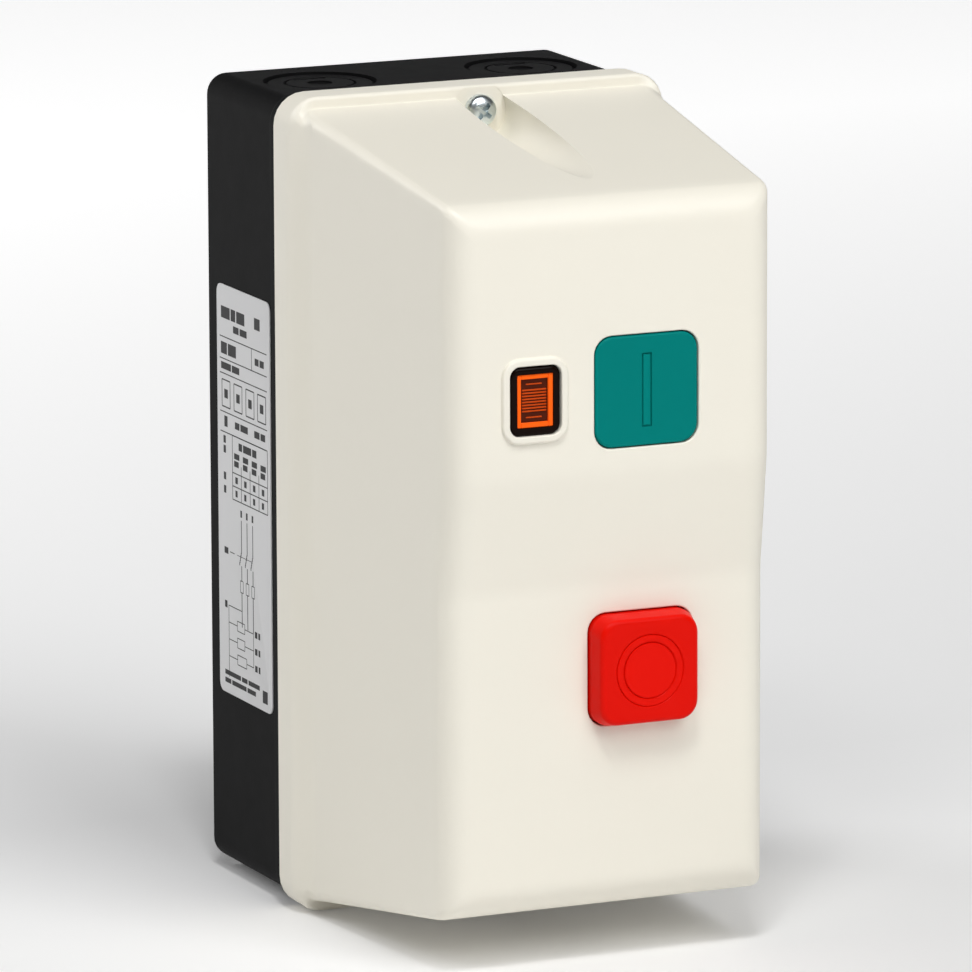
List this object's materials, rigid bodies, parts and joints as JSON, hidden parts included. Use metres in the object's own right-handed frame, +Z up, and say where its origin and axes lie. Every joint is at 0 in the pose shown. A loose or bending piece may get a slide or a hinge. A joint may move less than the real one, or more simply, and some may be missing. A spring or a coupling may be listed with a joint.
{
  "type": "enclosed motor starter",
  "caption": "Wall-mounted motor starter in a black box with an ivory cover, green start button, red stop button and amber pilot lamp, contactor and overload relay inside.",
  "frame": {"origin": "middle of the four wall-fixing holes, on the back face of the box", "axes": "+X to the right seen from the front, +Y into the wall, +Z up"},
  "size_m": [0.0888, 0.123, 0.18],
  "materials": {
    "amber_lens": "dark amber clear plastic",
    "bimetal": "rolled bimetal",
    "blue_plastic": "blue plastic",
    "box_plastic": "fine matt black moulded plastic",
    "brass": "brass",
    "brown_plastic": "brown thermoset",
    "contact_metal": "copper alloy",
    "copper": "enamelled copper winding",
    "core_steel": "laminated steel",
    "cover_plastic": "ivory moulded plastic, satin",
    "device_plastic": "dark grey moulded plastic",
    "glass_fibre": "glass-fibre sleeve",
    "green_plastic": "teal green, satin gloss",
    "green_zinc": "green lacquered steel",
    "label_foil": "satin grey printed foil",
    "neon_glass": "clear glass",
    "pale_plastic": "pale moulded plastic",
    "red_plastic": "signal red, satin gloss",
    "rubber": "soft black seal",
    "wire_dark": "PVC insulation, black",
    "wire_red": "PVC insulation, dark red",
    "zinc": "bright zinc plating"
  },
  "bodies": {
    "box": {"base_box": "box_plastic", "screw_inserts": "brass", "side_label": "label_foil", "mounting_rail": "zinc", "rail_screws": "zinc", "earth_terminal": "brass", "earth_screw": "green_zinc", "lamp_holder": "pale_plastic", "neon_lamp": "neon_glass", "contactor_base": "device_plastic", "fixed_core": "core_steel", "coil_bobbin": "pale_plastic", "coil_winding": "copper", "coil_terminals": "brass", "coil_screws": "zinc", "contactor_head": "device_plastic", "fixed_contacts": "contact_metal", "terminal_clamps": "zinc", "terminal_screws": "zinc", "return_springs": "zinc", "start_block": "device_plastic", "start_block_spring": "zinc", "start_block_terminals": "brass", "relay_housing": "device_plastic", "relay_front": "device_plastic", "relay_pins": "contact_metal", "bimetal_strips": "bimetal", "heater_windings": "glass_fibre", "trip_frame": "pale_plastic", "reset_spring": "zinc", "relay_terminals": "contact_metal", "relay_clamps": "zinc", "relay_screws": "zinc", "lamp_wire": "wire_dark", "start_wire": "wire_red", "relay_wire": "wire_red"},
    "cover": {"cover_shell": "cover_plastic", "cover_gasket": "rubber", "button_frame": "pale_plastic", "frame_screws": "zinc", "lamp_lens": "amber_lens", "start_spring": "zinc", "stop_spring": "zinc"},
    "top_screw": {"cover_screw_top": "zinc"},
    "bottom_screw": {"cover_screw_bottom": "zinc"},
    "start_button": {"start_button": "green_plastic", "start_seal": "rubber"},
    "stop_button": {"stop_button": "red_plastic", "stop_seal": "rubber"},
    "start_plunger": {"start_plunger": "pale_plastic"},
    "reset_plunger": {"reset_plunger": "red_plastic"},
    "armature": {"armature": "core_steel", "contact_carrier": "brown_plastic", "moving_contacts": "contact_metal", "contact_springs": "zinc"},
    "trip_bar": {"trip_bar": "pale_plastic"},
    "test_tab": {"test_tab": "blue_plastic"},
    "current_dial": {"current_dial": "pale_plastic"},
    "rail_latch": {"rail_latch": "pale_plastic"}
  },
  "joints": [
    {"name": "cover_off", "type": "slide", "parent": "box", "child": "cover", "axis": [0, -1, 0], "range_m": [0, 0.1]},
    {"name": "top_screw_turn", "type": "hinge", "parent": "cover", "child": "top_screw", "pos_m": [0.0005, -0.05, 0.0844], "axis": [0, -1, 0], "continuous": true},
    {"name": "bottom_screw_turn", "type": "hinge", "parent": "cover", "child": "bottom_screw", "pos_m": [0.0005, -0.05, -0.0844], "axis": [0, -1, 0], "continuous": true},
    {"name": "start_press", "type": "slide", "parent": "cover", "child": "start_button", "axis": [0, 1, 0], "range_m": [0, 0.004], "stiffness_N_per_m": 600, "springref_m": -0.004, "deforming": ["start_spring"]},
    {"name": "stop_press", "type": "slide", "parent": "cover", "child": "stop_button", "axis": [0, 1, 0], "range_m": [0, 0.004], "stiffness_N_per_m": 700, "springref_m": -0.004, "deforming": ["stop_spring"]},
    {"name": "start_contact", "type": "slide", "parent": "box", "child": "start_plunger", "axis": [0, 1, 0], "range_m": [0, 0.004], "stiffness_N_per_m": 200, "springref_m": -0.004, "deforming": ["start_block_spring"]},
    {"name": "relay_reset", "type": "slide", "parent": "box", "child": "reset_plunger", "axis": [0, 1, 0], "range_m": [0, 0.004], "stiffness_N_per_m": 300, "springref_m": -0.004, "deforming": ["reset_spring"]},
    {"name": "armature_pull_in", "type": "slide", "parent": "box", "child": "armature", "axis": [0, 1, 0], "range_m": [0, 0.0044], "stiffness_N_per_m": 900, "springref_m": -0.004, "deforming": ["return_springs"]},
    {"name": "trip_bar_slide", "type": "slide", "parent": "box", "child": "trip_bar", "axis": [1, 0, 0], "range_m": [0, 0.0018], "stiffness_N_per_m": 200, "springref_m": -0.001},
    {"name": "test_tab_slide", "type": "slide", "parent": "box", "child": "test_tab", "axis": [1, 0, 0], "range_m": [0, 0.0018], "stiffness_N_per_m": 200, "springref_m": -0.001},
    {"name": "current_dial_turn", "type": "hinge", "parent": "box", "child": "current_dial", "pos_m": [-0.01, -0.0845, -0.0258], "axis": [0, -1, 0], "range_deg": [-135, 135]},
    {"name": "rail_latch_pull", "type": "slide", "parent": "box", "child": "rail_latch", "axis": [0, 0, -1], "range_m": [0, 0.003], "stiffness_N_per_m": 1500, "springref_m": -0.002}
  ],
  "couplings": [
    {"joint": "start_contact", "follows": "start_press", "ratio": 1},
    {"joint": "relay_reset", "follows": "stop_press", "ratio": 1},
    {"joint": "trip_bar_slide", "follows": "test_tab_slide", "ratio": 1}
  ]
}
